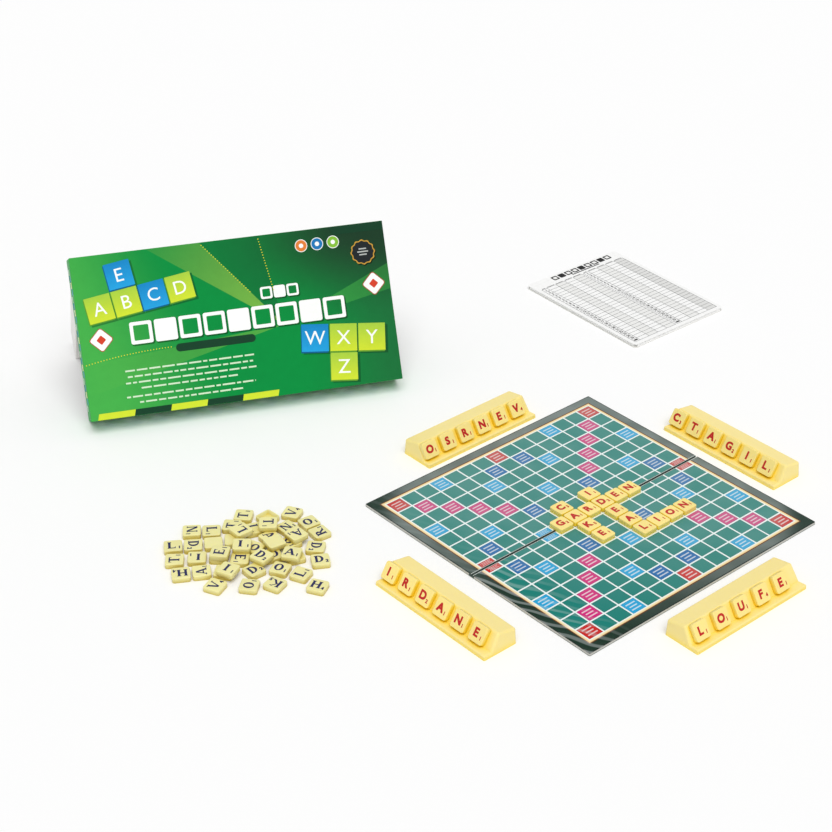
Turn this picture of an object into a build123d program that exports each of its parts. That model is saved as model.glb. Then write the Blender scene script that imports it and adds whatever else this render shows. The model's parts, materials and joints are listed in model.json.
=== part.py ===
from build123d import *

import os
from math import acos, atan2, cos, degrees, hypot, radians, sin, tan

# A word board game set out for play. The lid of its box leans back on the standing
# base like an easel, the folding board lies open with crossing words on it, a rack
# of tiles stands along each side, and a score pad and a heap of loose tiles lie by.
# Millimetres, +Z up. The origin is the middle of the open board's underside, with
# X along the board's fold and Y across it, from the near half to the far half.

# Letter tiles: moulded, hollow underneath
tile_side = 19.4
tile_height = 6.0
tile_corner = 1.6             # cut off each upright corner
tile_bevel = 0.7              # softened edge round the face
tile_wall = 1.8               # round the hollow
tile_roof = 2.0               # between the hollow and the face

# Folding board: two panels of greyboard with a printed sheet on each
board_length = 343.0          # along the fold
half_width = 170.5            # from the fold to one half's outer edge
panel_thickness = 2.6
print_thickness = 0.4
print_margin = 0.4            # greyboard that shows round the printed sheet
board_corner = 1.5
fold_gap = 2.0                # between the two halves
cloth_thickness = 0.3         # spine cloth, let in flush with the underside
cloth_overlap = 12.0          # width of cloth glued under each half
cell_pitch = 20.8             # one playing square with its share of the lines

# Racks: moulded shells, open underneath
rack_length = 165.0
rack_depth = 44.0
rack_wall = 1.8
ledge_depth = 10.0            # the tiles' feet stand on this ledge
ledge_height = 5.2
ridge_height = 22.3
rack_back_height = 18.0
backrest_angle = 58.0         # from the table
rack_end_draft = 5.0          # the ends lean inwards by this angle
ledge_round = 1.5
ridge_round = 3.0
rack_end_round = 1.4
foot_clearance = 0.3          # between a tile's foot and the ledge
back_clearance = 0.1          # between a tile's back and the backrest

# Box: a deep lid over a base, both of wrapped card
lid_length = 368.0
lid_width = 188.0
lid_depth = 40.0
base_depth = 38.0
box_wall = 1.8
box_round = 1.2               # wrapped outer edges
lid_clearance = 0.8           # between the lid and the base all round
lid_lean = 30.0               # the lid's face from upright, as propped
lid_turn = -25.8              # its long edge from the board's fold
lid_foot = (-137.0, 435.0)    # middle of the lid's lower rim, on the table
prop_clearance = 0.3          # where the base touches the lid from inside

# Score pad
pad_width = 155.0
pad_length = 200.0
pad_corner = 4.0
card_thickness = 1.0
block_thickness = 3.6         # the gummed sheets
sheet_thickness = 0.4         # the loose top sheet
gum_thickness = 0.5
pad_place = (379.0, 313.0)
pad_turn = -2.0

# Heap of loose tiles: each is across, away and turn in the heap's own frame
heap_place = (-323.0, 182.0)
heap_turn = -41.0
heap_floor_tiles = [
    (-9, 67, 84), (43, 72, -110), (62, 54, 125), (74, 36, -145), (-20, 48, 175), (-62, 38, -85),
    (-41, 38, 95), (39, 45, 45), (22, 27, 40), (-79, 10, 8), (-58, 12, 5), (-37, 16, 8),
    (-16, 22, 95), (6, 8, 150), (44, 18, 40), (71, 9, 172), (-75, -14, 3), (-52, -10, -88),
    (-29, -7, 175), (-7, -12, 88), (77, -14, -80), (-66, -38, 100), (-45, -34, -80), (-22, -34, -8),
    (9, -32, 130), (36, -29, -20), (58, -38, 155), (-29, -58, 155), (6, -58, 170), (32, -55, 60),
    (76, -59, 160), (3, 42, 20), (50, -7, 20), (26, -5, 20),
]
heap_top_tiles = [
    (-9, 32, -140), (19, 44, 92), (50, 24, 40), (28, 10, -150), (-6, 5, 0), (-28, -8, 172),
    (16, -15, -35), (47, -10, -12), (-17, -38, 155),
]
heap_turned_tile = (17, 64, 45)

# Words on the board: the word, the square of its first letter, and its way on
across, down = (1, 0), (0, -1)
laid_words = [
    ("garden", (-2, 0), across),
    ("cake", (-1, 1), down),
    ("ideal", (1, 1), down),
    ("lion", (1, -3), across),
]

# Racks: side of the board, gap to it, place along it, number of tiles, pitch and shift
racks = {
    "rack_left": ((-1, 0), 39.0, 27.0, 6, 26.5, -5.0),
    "rack_front": ((0, -1), 24.0, -8.0, 5, 30.0, -7.0),
    "rack_right": ((1, 0), 15.5, 17.5, 6, 26.5, -5.0),
    "rack_back": ((0, 1), 9.0, 12.0, 6, 26.5, -5.0),
}

board_thickness = panel_thickness + print_thickness
base_length = lid_length - 2 * (box_wall + lid_clearance)
base_width = lid_width - 2 * (box_wall + lid_clearance)
os.makedirs("parts", exist_ok=True)


def save(piece, name):
    piece.part.label = name
    export_step(piece.part, f"parts/{name}.step")


def on_table(place, turn):
    along = (cos(radians(turn)), sin(radians(turn)), 0)
    return Plane(origin=(*place, 0), x_dir=along, z_dir=(0, 0, 1))


# One tile, its underside on the ground plane and its face up

with BuildPart() as tile:
    with BuildSketch() as outline:
        Rectangle(tile_side, tile_side)
        chamfer(outline.vertices(), tile_corner)
    extrude(amount=tile_height)
    chamfer(tile.faces().sort_by(Axis.Z)[-1].edges(), tile_bevel)
    with BuildSketch():
        Rectangle(tile_side - 2 * tile_wall, tile_side - 2 * tile_wall)
    extrude(amount=tile_height - tile_roof, mode=Mode.SUBTRACT)


def tiles_at(*places):
    with BuildPart() as group:
        with Locations(*places):
            add(tile.part)
    return group


# Folding board, each half built from the fold outwards

def board_half(side):
    """side is 1 for the far half and -1 for the near half"""
    inner = side * fold_gap / 2
    middle = Plane(origin=(0, inner + side * half_width / 2, 0))
    cloth_middle = Plane(origin=(0, inner + side * cloth_overlap / 2, 0))

    def outer_corners(piece):
        return piece.edges().filter_by(Axis.Z).group_by(Axis.Y)[-1 if side > 0 else 0]

    with BuildPart() as panel:
        with BuildSketch(middle):
            Rectangle(board_length, half_width)
        extrude(amount=panel_thickness)
        fillet(outer_corners(panel), board_corner)
        with BuildSketch(cloth_middle):
            Rectangle(board_length, cloth_overlap)
        extrude(amount=cloth_thickness, mode=Mode.SUBTRACT)

    with BuildPart() as printed:
        with BuildSketch(middle.offset(panel_thickness)):
            Rectangle(board_length - 2 * print_margin, half_width - 2 * print_margin)
        extrude(amount=print_thickness)
        fillet(outer_corners(printed), board_corner - print_margin)

    with BuildPart() as cloth:
        with BuildSketch(cloth_middle):
            Rectangle(board_length, cloth_overlap)
        extrude(amount=cloth_thickness)

    return panel, printed, cloth


for half, side in (("far", 1), ("near", -1)):
    panel, printed, cloth = board_half(side)
    save(panel, f"board_panel_{half}")
    save(printed, f"board_print_{half}")
    save(cloth, f"board_cloth_{half}")

with BuildPart() as spine:
    with BuildSketch():
        Rectangle(board_length, fold_gap)
    extrude(amount=cloth_thickness)
save(spine, "board_spine_cloth")


# Words: a tile that two words share belongs to the first

letter_squares = {}
for word, first, step in laid_words:
    for place, letter in enumerate(word):
        square = (first[0] + place * step[0], first[1] + place * step[1])
        letter_squares.setdefault(square, f"tile_{word}_{letter}")

for (column, row), name in letter_squares.items():
    save(tiles_at(Location((column * cell_pitch, row * cell_pitch, board_thickness))), name)


# Racks and the tiles that lean on them

ridge_depth = ledge_depth + (ridge_height - ledge_height) / tan(radians(backrest_angle))


def rack_section(base, foot):
    """the rack's outline seen from its end, with its two feet at height foot"""
    corner = base.origin - base.y_dir * rack_depth / 2 - base.x_dir * rack_length / 2
    with BuildSketch(Plane(origin=corner, x_dir=base.y_dir, z_dir=base.x_dir)) as section:
        with BuildLine():
            Polyline(
                (0, foot),
                (0, ledge_height),
                (ledge_depth, ledge_height),
                (ridge_depth, ridge_height),
                (rack_depth, rack_back_height),
                (rack_depth, foot),
                close=True,
            )
        make_face()
        if foot == 0:
            fillet(section.vertices().group_by(Axis.X)[0].sort_by(Axis.Y)[-1], ledge_round)
            fillet(section.vertices().sort_by(Axis.Y)[-1], ridge_round)
            fillet(section.vertices().group_by(Axis.X)[-1].sort_by(Axis.Y)[-1], ridge_round)
        else:
            offset(amount=-rack_wall, kind=Kind.INTERSECTION)
    return section


def end_planes(base, length):
    """planes at the two ends, which lean inwards, with their fronts facing out"""
    draft = radians(rack_end_draft)
    for way in (1, -1):
        out = base.x_dir * way
        yield Plane(origin=base.origin + out * length / 2, z_dir=out * cos(draft) + base.z_dir * sin(draft))


def make_rack(base):
    """base lies on the table, with X along the rack and Y from its front to its back"""
    with BuildPart() as hollow:
        extrude(rack_section(base, -2 * rack_wall).sketch, amount=rack_length, dir=base.x_dir)
        for end in end_planes(base, rack_length - 2 * rack_wall):
            split(bisect_by=end, keep=Keep.BOTTOM)

    with BuildPart() as rack:
        extrude(rack_section(base, 0).sketch, amount=rack_length, dir=base.x_dir)
        for end in end_planes(base, rack_length):
            split(bisect_by=end, keep=Keep.BOTTOM)
        ends = [face for face in rack.faces() if abs(face.normal_at().dot(base.x_dir)) > 0.9]
        rims = [edge for face in ends for edge in face.edges() if edge.center().Z > rack_wall]
        fillet(rims, rack_end_round)
        add(hollow.part, mode=Mode.SUBTRACT)
    return rack


def backrest_places(base, count, pitch, shift):
    """where the leaning tiles sit, with Z out of the backrest and Y up it"""
    angle = radians(backrest_angle)
    up = base.y_dir * cos(angle) + base.z_dir * sin(angle)
    out = base.z_dir * cos(angle) - base.y_dir * sin(angle)
    foot = base.origin + base.y_dir * (ledge_depth - rack_depth / 2) + base.z_dir * ledge_height
    middle = foot + up * (tile_side / 2 + foot_clearance) + out * back_clearance
    for place in range(count):
        along = (place - (count - 1) / 2) * pitch + shift
        yield Plane(origin=middle + base.x_dir * along, x_dir=base.x_dir, z_dir=out).location


for name, (side, gap, beside, count, pitch, shift) in racks.items():
    board_reach = board_length / 2 if side[0] else fold_gap / 2 + half_width
    out = Vector(*side)
    lengthwise = Vector(abs(side[0]), abs(side[1])).cross(Vector(0, 0, 1))
    centre = out * (board_reach + gap + rack_depth / 2) + lengthwise * beside
    base = Plane(origin=centre, x_dir=lengthwise, z_dir=(0, 0, 1))
    save(make_rack(base), name)
    save(tiles_at(*backrest_places(base, count, pitch, shift)), f"{name}_tiles")


# Box. The lid stands on its lower rim and leans back by lid_lean. The base stands on
# the edge of its floor and leans forwards by base_lean, with its top edge tucked into
# the corner under the lid's upper wall.

def tray(plane, length, width, depth):
    """an open tray whose outer face lies on the plane, its lower edge at the origin"""
    with BuildPart() as box:
        with BuildSketch(plane):
            Rectangle(length, width, align=(Align.CENTER, Align.MIN))
        extrude(amount=-depth)
        closed = box.faces().sort_by(Axis(plane.origin, plane.z_dir))[-1]
        walls = box.edges().filter_by(Axis(plane.origin, plane.z_dir))
        fillet(closed.edges() + walls, box_round)
        inner_edge = plane.origin + (plane.y_dir - plane.z_dir) * box_wall
        with BuildSketch(Plane(origin=inner_edge, x_dir=plane.x_dir, z_dir=plane.z_dir)):
            Rectangle(length - 2 * box_wall, width - 2 * box_wall, align=(Align.CENTER, Align.MIN))
        extrude(amount=-depth, mode=Mode.SUBTRACT)
    return box


lean = radians(lid_lean)
rise = base_width + base_depth * sin(lean) * cos(lean)
reach = base_depth * cos(lean) ** 2
height = (
    (lid_width - box_wall - prop_clearance) * cos(lean)
    + (lid_depth - box_wall - prop_clearance) * sin(lean)
)
base_lean = atan2(reach, rise) + acos(height / hypot(rise, reach))

along = on_table(lid_foot, lid_turn).x_dir
away = on_table(lid_foot, lid_turn).y_dir
up = Vector(0, 0, 1)
lid_up = away * sin(lean) + up * cos(lean)
lid_in = away * cos(lean) - up * sin(lean)
base_up = up * cos(base_lean) - away * sin(base_lean)
base_in = away * cos(base_lean) + up * sin(base_lean)

lid_plane = Plane(origin=Vector(*lid_foot, 0) - lid_in * lid_depth, x_dir=along, z_dir=-lid_in)
tuck = (
    lid_plane.origin
    + lid_up * (lid_width - box_wall - prop_clearance - base_depth * sin(lean + base_lean))
    + lid_in * (box_wall + prop_clearance)
)
base_plane = Plane(origin=tuck - base_up * base_width, x_dir=along, z_dir=-base_in)
print(f"base leans {degrees(base_lean):.2f} degrees, foot at {base_plane.origin}")

save(tray(lid_plane, lid_length, lid_width, lid_depth), "box_lid")
save(tray(base_plane, base_length, base_width, base_depth), "box_base")


# Score pad, gummed along its head

pad_plane = on_table(pad_place, pad_turn)


def pad_layer(bottom, thickness):
    with BuildPart() as layer:
        with BuildSketch(pad_plane.offset(bottom)):
            RectangleRounded(pad_width, pad_length, pad_corner)
        extrude(amount=thickness)
    return layer


save(pad_layer(0, card_thickness), "pad_backing_card")
save(pad_layer(card_thickness, block_thickness), "pad_sheets")
save(pad_layer(card_thickness + block_thickness, sheet_thickness), "pad_top_sheet")

# the gum ends a little below the loose sheet, which turns over it
head_plane = pad_plane.location * Location((0, (pad_length + gum_thickness) / 2, 0))
with BuildPart() as gum:
    with BuildSketch(Plane(head_plane)):
        Rectangle(pad_width - 2 * pad_corner, gum_thickness)
    extrude(amount=card_thickness + block_thickness - 2 * sheet_thickness)
save(gum, "pad_gum_strip")


# Heap of loose tiles

heap = on_table(heap_place, heap_turn).location


def heap_places(rows, height):
    for x, y, turn in rows:
        yield heap * Location((x, y, height), (0, 0, turn))


save(tiles_at(*heap_places(heap_floor_tiles, 0)), "heap_floor_tiles")
save(tiles_at(*heap_places(heap_top_tiles, tile_height)), "heap_top_tiles")

x, y, turn = heap_turned_tile
save(tiles_at(heap * Location((x, y, tile_height), (180, 0, turn))), "heap_turned_tile")
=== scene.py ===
import json
import random
from math import cos, pi, radians, sin, tan

import bmesh
import bpy
from mathutils import Matrix, Vector


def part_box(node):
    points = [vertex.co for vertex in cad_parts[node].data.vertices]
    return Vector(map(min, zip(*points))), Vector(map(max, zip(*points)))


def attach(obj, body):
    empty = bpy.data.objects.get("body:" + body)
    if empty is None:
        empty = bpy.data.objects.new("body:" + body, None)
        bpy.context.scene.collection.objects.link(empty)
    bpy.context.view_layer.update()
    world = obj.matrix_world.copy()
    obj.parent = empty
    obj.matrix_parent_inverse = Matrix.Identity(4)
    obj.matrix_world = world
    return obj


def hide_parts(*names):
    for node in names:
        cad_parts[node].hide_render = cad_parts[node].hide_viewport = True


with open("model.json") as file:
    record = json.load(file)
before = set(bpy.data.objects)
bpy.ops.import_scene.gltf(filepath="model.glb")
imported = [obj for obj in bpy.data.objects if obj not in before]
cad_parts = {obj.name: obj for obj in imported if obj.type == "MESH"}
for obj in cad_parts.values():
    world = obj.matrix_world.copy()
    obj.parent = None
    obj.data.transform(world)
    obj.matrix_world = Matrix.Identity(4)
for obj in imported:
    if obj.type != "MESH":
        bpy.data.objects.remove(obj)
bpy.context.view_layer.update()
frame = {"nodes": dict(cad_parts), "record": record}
cadNodes = frame["nodes"]
bodyNodes = frame["record"]["behaviour"]["bodies"]
mm = 0.001
scene = bpy.context.scene


# Small helpers

def toLinear(hexText):
    parts = [int(hexText[i:i + 2], 16) / 255 for i in (1, 3, 5)]
    return (*[p / 12.92 if p <= 0.04045 else ((p + 0.055) / 1.055) ** 2.4 for p in parts], 1.0)


def feed(tree, node, sockets):
    # each socket takes a value, another socket, or the first output of a node
    for key, value in sockets.items():
        if isinstance(value, bpy.types.Node):
            value = value.outputs[0]
        if isinstance(value, bpy.types.NodeSocket):
            tree.links.new(value, node.inputs[key])
        else:
            node.inputs[key].default_value = value


def addNode(tree, kind, sockets=None, **settings):
    node = tree.nodes.new(kind)
    for name, value in settings.items():
        setattr(node, name, value)
    feed(tree, node, sockets or {})
    return node


def between(low, high, start, end):
    # what a Map Range node takes besides its value
    return {"From Min": low, "From Max": high, "To Min": start, "To Max": end}


def setStops(ramp, stops, colours):
    for element, stop, colour in zip(ramp.color_ramp.elements, stops, colours):
        element.position = stop
        element.color = toLinear(colour)


def cloudy(tree, place, grain, detail, colours, stops=(0.3, 0.7), roughness=0.5):
    # a cloudy pattern with its grain in millimetres, and the two colours it runs between
    cloud = addNode(tree, "ShaderNodeTexNoise", {
        "Vector": place, "Scale": 1 / (grain * mm), "Detail": detail, "Roughness": roughness})
    ramp = addNode(tree, "ShaderNodeValToRGB", {"Fac": cloud})
    setStops(ramp, stops, colours)
    return cloud, ramp


def newMaterial(name, sockets):
    material = bpy.data.materials.new(name)
    material.use_nodes = True
    tree = material.node_tree
    shader = tree.nodes["Principled BSDF"]
    feed(tree, shader, sockets)
    return material, tree, shader


def dress(node, material):
    obj = cadNodes[node]
    if not obj.material_slots:
        obj.data.materials.append(material)
    for place in obj.material_slots:
        place.material = material


def newObject(name, data):
    piece = bpy.data.objects.new(name, data)
    scene.collection.objects.link(piece)
    return piece


def finishedMesh(name, shape):
    mesh = bpy.data.meshes.new(name)
    shape.to_mesh(mesh)
    shape.free()
    return mesh


def addPiece(name, mesh, body, slotName, material=None, replaced=()):
    if material:
        mesh.materials.clear()
        mesh.materials.append(material)
    piece = newObject(name, mesh)
    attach(piece, body)
    if replaced:
        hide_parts(*replaced)


# Where the frame's flat faces lie

# the weld is in metres and the others compare the cosines of angles
faceTest = {"weld": 1e-6, "sameWay": 0.9999, "upward": 0.05, "square": 0.01}


def solidCorners(solids):
    # the corners of each solid, gathered along its edges
    waiting = set(solids.verts)
    while waiting:
        growing, corners = [waiting.pop()], []
        while growing:
            corner = growing.pop()
            corners.append(corner)
            others = {edge.other_vert(corner) for edge in corner.link_edges} & waiting
            waiting -= others
            growing += others
        yield corners


def faceWays(corners):
    # the ways that a solid's faces look, the widest first
    facings = []
    for face in {face for corner in corners for face in corner.link_faces}:
        for facing in facings:
            if facing[0].dot(face.normal) > faceTest["sameWay"]:
                facing[1] += face.calc_area()
                break
        else:
            facings.append([face.normal.copy(), face.calc_area()])
    facings.sort(key=lambda facing: -facing[1])
    return [normal for normal, area in facings]


def solidFrames(node, guides):
    # for each solid: its widest upward face as a matrix, Z out of the face and Y along
    # the side that comes nearest to the guide, and its sizes along X, Y and Z
    solids = bmesh.new()
    solids.from_mesh(cadNodes[node].data)
    bmesh.ops.remove_doubles(solids, verts=solids.verts, dist=faceTest["weld"])
    found = []
    for corners in solidCorners(solids):
        ways = faceWays(corners)
        out = next(way for way in ways if way.z > faceTest["upward"])
        side = next(way for way in ways if abs(way.dot(out)) < faceTest["square"])
        found.append((out, side, [corner.co.copy() for corner in corners]))
    solids.free()
    found.sort(key=lambda solid: tuple(round(c, 3) for c in sum(solid[2], Vector()) / len(solid[2])))
    frames = []
    for out, side, corners in found:
        guide = next(guides)
        across = out.cross(side)
        up = max((side, -side, across, -across), key=lambda way: way.dot(guide))
        axes = (up.cross(out), up, out)
        low = [min(corner.dot(axis) for corner in corners) for axis in axes]
        high = [max(corner.dot(axis) for corner in corners) for axis in axes]
        centre = sum(((low[i] + high[i]) / 2 * axes[i] for i in (0, 1)), high[2] * axes[2])
        turned = Matrix(axes).transposed().to_4x4()
        frames.append((Matrix.Translation(centre) @ turned, Vector(high) - Vector(low)))
    return frames


def always(guide):
    while True:
        yield Vector(guide)


# Camera, light and floor

# distance, target, clip end and reach are in metres, and angles in degrees
view = {
    "azimuth": -41.0, "elevation": 32.0, "distance": 2.3316, "target": (-0.0085, 0.2748, 0.0),
    "lens": 86.54, "sensor": 36.0, "clipEnd": 50.0,
}
light = {"ambient": 0.51, "strength": 1.7, "softness": 45.0, "azimuth": -32.0, "elevation": 63.0}
sweep = {"white": 0.995, "roughness": 0.9, "reach": 12.0, "drop": 0.05}


def towards(azimuth, elevation):
    flat = cos(radians(elevation))
    return Vector((sin(radians(azimuth)) * flat, -cos(radians(azimuth)) * flat, sin(radians(elevation))))


def placeTurned(name, data, turn):
    piece = newObject(name, data)
    piece.rotation_mode = "QUATERNION"
    piece.rotation_quaternion = turn
    return piece


def makeCamera():
    lens = bpy.data.cameras.new("camera")
    lens.lens = view["lens"]
    lens.sensor_width = view["sensor"]
    lens.clip_end = view["clipEnd"]
    back = towards(view["azimuth"], view["elevation"])
    scene.camera = placeTurned("camera", lens, (-back).to_track_quat("-Z", "Y"))
    scene.camera.location = Vector(view["target"]) + back * view["distance"]
    scene.view_settings.view_transform = "Standard"


def makeLight():
    lamp = bpy.data.lights.new("softLamp", "SUN")
    lamp.energy = light["strength"]
    lamp.angle = radians(light["softness"])
    placeTurned("softLamp", lamp, towards(light["azimuth"], light["elevation"]).to_track_quat("Z", "Y"))
    # what is seen straight, in a gloss or through a clear skin is white, and what lights
    # the set is dimmer
    scene.world = bpy.data.worlds.new("studio")
    scene.world.use_nodes = True
    tree = scene.world.node_tree
    path = addNode(tree, "ShaderNodeLightPath")
    seen = path.outputs["Is Camera Ray"]
    for ray in ("Is Glossy Ray", "Is Transmission Ray"):
        seen = addNode(tree, "ShaderNodeMath", {0: seen, 1: path.outputs[ray]}, operation="MAXIMUM")
    strength = addNode(tree, "ShaderNodeMapRange", {"Value": seen, "To Min": light["ambient"]})
    feed(tree, tree.nodes["Background"], {"Color": (1, 1, 1, 1), "Strength": strength})


def makeFloor():
    # matt white paper sweep, flat under the whole set
    white = (*[sweep["white"]] * 3, 1)
    sockets = {"Base Color": white, "Roughness": sweep["roughness"], "Specular IOR Level": 0.0}
    mesh = bpy.data.meshes.new("floor")
    reach = sweep["reach"]
    corners = ((-reach, -reach), (reach, -reach), (reach, reach), (-reach, reach))
    mesh.from_pydata([(x, y, 0) for x, y in corners], [], [(0, 1, 2, 3)])
    mesh.materials.append(newMaterial("paperSweep", sockets)[0])
    floor = newObject("floor", mesh)
    floor.location.z = -sweep["drop"] * mm


makeCamera()
makeLight()
makeFloor()
print("stage ready")


# Letters and values

# both kinds of letter are measured in shares of their own height
sansLetter = {"offset": 0.016, "strike": 0.045, "curveSteps": 4}
romanLetter = {
    "stem": 0.24, "hair": 0.12, "serif": 0.065, "slab": 0.09, "tip": (0.13, 0.26),
    "bowlSteps": 40, "fewestSteps": 12,
}
# overlapping shapes of a letter lie a step apart, so that none shares a level
inkLevel = {"step": 0.0003, "levels": 24}
letterValues = {
    "A": 1, "B": 3, "C": 3, "D": 2, "E": 1, "F": 4, "G": 2, "H": 4, "I": 1, "K": 5, "L": 1, "N": 1,
    "O": 1, "P": 3, "R": 1, "S": 1, "T": 1, "U": 1, "V": 4, "W": 4, "X": 8, "Y": 4, "Z": 10,
}
glyphStore = {}


def sansGlyph(text, strikes):
    # flat outline letter, one high, struck several times around its place for weight
    key = (text, strikes)
    if key in glyphStore:
        return glyphStore[key]
    curve = bpy.data.curves.new("glyph", "FONT")
    curve.body = text
    curve.offset = sansLetter["offset"] if strikes > 1 else 0.0
    curve.resolution_u = sansLetter["curveSteps"]
    holder = newObject("glyph", curve)
    graph = bpy.context.evaluated_depsgraph_get()
    flat = bpy.data.meshes.new_from_object(holder.evaluated_get(graph))
    bpy.data.objects.remove(holder)
    bpy.data.curves.remove(curve)
    points = [v.co.copy() for v in flat.vertices]
    low = Vector((min(p.x for p in points), min(p.y for p in points), 0))
    high = Vector((max(p.x for p in points), max(p.y for p in points), 0))
    middle, size = (low + high) / 2, high.y - low.y
    polygons = []
    steps = [(k - (strikes - 1) / 2) * sansLetter["strike"] for k in range(strikes)]
    for order, (x, y) in enumerate((x, y) for x in steps for y in steps):
        shift = Vector((x, y, inkLevel["step"] * order))
        for face in flat.polygons:
            polygons.append([(points[i] - middle) / size + shift for i in face.vertices])
    glyphStore[key] = polygons
    return polygons


def romanStrokes():
    # strokes run from point to point with a width, arms from side to side at a height with
    # a tip that points up or down, and bowls are arcs with a centre, a reach and two angles
    stem, hair = romanLetter["stem"], romanLetter["hair"]
    low, high, waist, join = hair / 2, 1 - hair / 2, 0.52, 0.508
    upright = ("stroke", 0.2, 0, 0.2, 1, stem)
    topArm = ("arm", 0.2, 0.74, high, -1)
    return {
        "A": [("stroke", 0.5, 0.99, 0.88, 0, stem), ("stroke", 0.48, 0.99, 0.13, 0, hair),
              ("arm", 0.27, 0.7, 0.32, 0)],
        "D": [upright, ("bowl", 0.34, 0.5, 0.52, 0.5, -90, 90), ("arm", 0.2, 0.36, high, 0),
              ("arm", 0.2, 0.36, low, 0)],
        "E": [upright, topArm, ("arm", 0.2, 0.58, waist, 0), ("arm", 0.2, 0.78, low, 1)],
        "F": [upright, topArm, ("arm", 0.2, 0.58, waist, 0)],
        "H": [upright, ("stroke", 0.82, 0, 0.82, 1, stem), ("arm", 0.2, 0.8, waist, 0)],
        "I": [upright],
        "K": [upright, ("stroke", 0.8, 1, 0.26, 0.4, hair), ("stroke", 0.42, 0.58, 0.86, 0, stem)],
        "L": [upright, ("arm", 0.2, 0.78, low, 1)],
        "N": [("stroke", 0.16, 0, 0.16, 1, hair), ("stroke", 0.2, 0.99, 0.8, 0.01, stem),
              ("stroke", 0.84, 0, 0.84, 1, hair)],
        "O": [("bowl", 0.5, 0.5, 0.44, 0.5, 0, 360)],
        "P": [upright, ("bowl", 0.36, 0.74, 0.36, 0.26, -90, 90), ("arm", 0.2, 0.38, high, 0),
              ("arm", 0.2, 0.38, join, 0)],
        "R": [upright, ("bowl", 0.36, 0.74, 0.34, 0.26, -90, 90), ("arm", 0.2, 0.38, high, 0),
              ("arm", 0.2, 0.38, join, 0), ("stroke", 0.46, 0.5, 0.84, 0, stem)],
        "T": [("stroke", 0.5, 0, 0.5, 1, stem), ("arm", 0.5, 0.9, high, -1), ("arm", 0.5, 0.1, high, -1)],
        "V": [("stroke", 0.14, 1, 0.5, 0.01, stem), ("stroke", 0.86, 1, 0.52, 0.01, hair)],
        "X": [("stroke", 0.16, 1, 0.82, 0, stem), ("stroke", 0.82, 1, 0.14, 0, hair)],
        "Z": [("arm", 0.82, 0.16, high, -1), ("stroke", 0.76, 0.99, 0.24, 0.01, stem),
              ("arm", 0.18, 0.84, low, 1)],
    }


romanStrokeTable = romanStrokes()


def romanStroke(x0, y0, x1, y1, width):
    half = width / 2
    polygons = [[(x0 - half, y0), (x0 + half, y0), (x1 + half, y1), (x1 - half, y1)]]
    for x, y in ((x0, y0), (x1, y1)):
        if y in (0, 1):
            # slab serif where a stroke ends on the foot or the head line
            top, reach = y or romanLetter["slab"], half + romanLetter["serif"]
            foot = top - romanLetter["slab"]
            polygons.append([(x - reach, foot), (x + reach, foot), (x + reach, top), (x - reach, top)])
    return polygons


def romanArm(x0, x1, y, tip):
    half = romanLetter["hair"] / 2
    polygons = [[(x0, y - half), (x1, y - half), (x1, y + half), (x0, y + half)]]
    if tip:
        deep, high = romanLetter["tip"]
        polygons.append([(x1 - deep if x1 > x0 else x1 + deep, y), (x1, y), (x1, y + tip * high)])
    return polygons


def romanBowl(x, y, wide, high, start, end):
    stem, hair = romanLetter["stem"], romanLetter["hair"]
    steps = max(romanLetter["fewestSteps"], int(romanLetter["bowlSteps"] * (end - start) / 360))
    turns = [radians(start + (end - start) * k / steps) for k in range(steps + 1)]
    outer = [(x + wide * cos(t), y + high * sin(t)) for t in turns]
    inner = [(x + (wide - stem) * cos(t), y + (high - hair) * sin(t)) for t in turns]
    return [[outer[k], outer[k + 1], inner[k + 1], inner[k]] for k in range(steps)]


def romanGlyph(text):
    # printed roman capital: thick and thin strokes with slab serifs, one em cap high
    if text in glyphStore:
        return glyphStore[text]
    draw = {"stroke": romanStroke, "arm": romanArm, "bowl": romanBowl}
    polygons = [polygon for kind, *numbers in romanStrokeTable[text] for polygon in draw[kind](*numbers)]
    xs = [x for polygon in polygons for x, y in polygon]
    middle = (min(xs) + max(xs)) / 2
    glyphStore[text] = []
    for order, polygon in enumerate(polygons):
        level = inkLevel["step"] * (order % inkLevel["levels"])
        glyphStore[text].append([Vector((x - middle, y - 0.5, level)) for x, y in polygon])
    return glyphStore[text]


def plateMesh(name, plates):
    # flat printed shapes: each is a matrix, its polygons, and one ink or an ink per corner
    plate = bmesh.new()
    ink = plate.verts.layers.float_color.new("ink")
    for matrix, polygons, inks in plates:
        inks = toLinear(inks) if isinstance(inks, str) else inks
        for polygon in polygons:
            shades = inks if isinstance(inks, list) else [inks] * len(polygon)
            pairs = list(zip(polygon, shades))
            turn = sum((b[0].x - a[0].x) * (b[0].y + a[0].y) for a, b in zip(pairs, pairs[1:] + pairs[:1]))
            if turn > 0:
                pairs.reverse()
            corners = []
            for point, shade in pairs:
                corner = plate.verts.new(matrix @ point)
                corner[ink] = shade
                corners.append(corner)
            plate.faces.new(corners)
    return finishedMesh(name, plate)


def printPiece(name, body, slotName, material, matrix, plates):
    shapes = [(matrix, polygons, inks) for polygons, inks in plates]
    addPiece(name, plateMesh(name, shapes), body, slotName, material)


def inkMaterial(name, roughness, grain, gloss=0.3):
    # printing ink: flat colour that mottles a little where the sheet took less of it
    material, tree, shader = newMaterial(name, {"Roughness": roughness, "Specular IOR Level": gloss})
    colour = addNode(tree, "ShaderNodeAttribute", attribute_name="ink")
    place = addNode(tree, "ShaderNodeTexCoord").outputs["Object"]
    mottle = addNode(tree, "ShaderNodeTexNoise", {"Vector": place, "Scale": 1 / (grain * mm), "Detail": 3.0})
    level = addNode(tree, "ShaderNodeMapRange", {"Value": mottle, "To Min": 0.94, "To Max": 1.05})
    shade = addNode(tree, "ShaderNodeVectorMath", {0: colour, 1: level}, operation="MULTIPLY")
    feed(tree, shader, {"Base Color": shade})
    return material


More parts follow.
